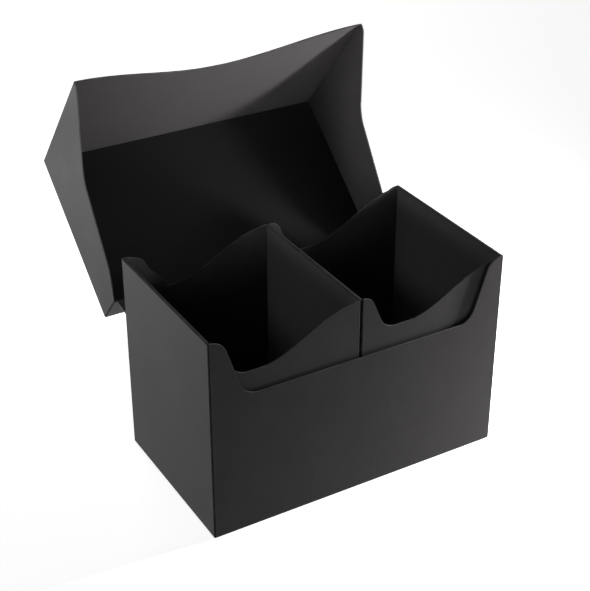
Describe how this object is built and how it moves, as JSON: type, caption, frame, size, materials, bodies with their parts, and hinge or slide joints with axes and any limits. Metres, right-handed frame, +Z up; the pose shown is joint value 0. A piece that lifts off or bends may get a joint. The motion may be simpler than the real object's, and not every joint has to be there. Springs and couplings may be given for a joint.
{
  "type": "double deck box",
  "caption": "Folded plastic card box with side-by-side compartments, scooped fronts and a flap lid on a creased living hinge.",
  "frame": {"origin": "middle of the underside", "axes": "+Z up, the front panel faces -Y, the lid opens towards +Y, +X to the right seen from the front"},
  "size_m": [0.1478, 0.1687, 0.1677],
  "materials": {
    "tub_sheet": "satin black",
    "tray_sheet": "satin black",
    "lid_sheet": "satin black"
  },
  "bodies": {
    "box": {"tub_front_panel": "tub_sheet", "tub_back_panel": "tub_sheet", "tub_left_panel": "tub_sheet", "tub_right_panel": "tub_sheet", "tub_bottom_panel": "tub_sheet", "left_bottom_flap": "tub_sheet", "right_bottom_flap": "tub_sheet", "tub_weld_flap": "tub_sheet", "left_tray_front_panel": "tray_sheet", "left_tray_back_panel": "tray_sheet", "left_tray_outer_wall": "tray_sheet", "left_tray_divider_wall": "tray_sheet", "left_tray_floor": "tray_sheet", "right_tray_front_panel": "tray_sheet", "right_tray_back_panel": "tray_sheet", "right_tray_outer_wall": "tray_sheet", "right_tray_divider_wall": "tray_sheet", "right_tray_floor": "tray_sheet", "lid_back_plate": "lid_sheet"},
    "strip": {"hinge_strip": "lid_sheet"},
    "lid": {"lid_top_panel": "lid_sheet", "lid_front_flap": "lid_sheet", "lid_left_flap": "lid_sheet", "lid_right_flap": "lid_sheet", "lid_back_panel": "lid_sheet"}
  },
  "joints": [
    {"name": "lower_crease", "type": "hinge", "parent": "box", "child": "strip", "pos_m": [0, 0.04165, 0.0696], "axis": [-1, 0, 0], "range_deg": [-80, 20]},
    {"name": "upper_crease", "type": "hinge", "parent": "strip", "child": "lid", "pos_m": [0, 0.0513, 0.0713], "axis": [-1, 0, 0], "range_deg": [-59.3, 40.7]}
  ]
}
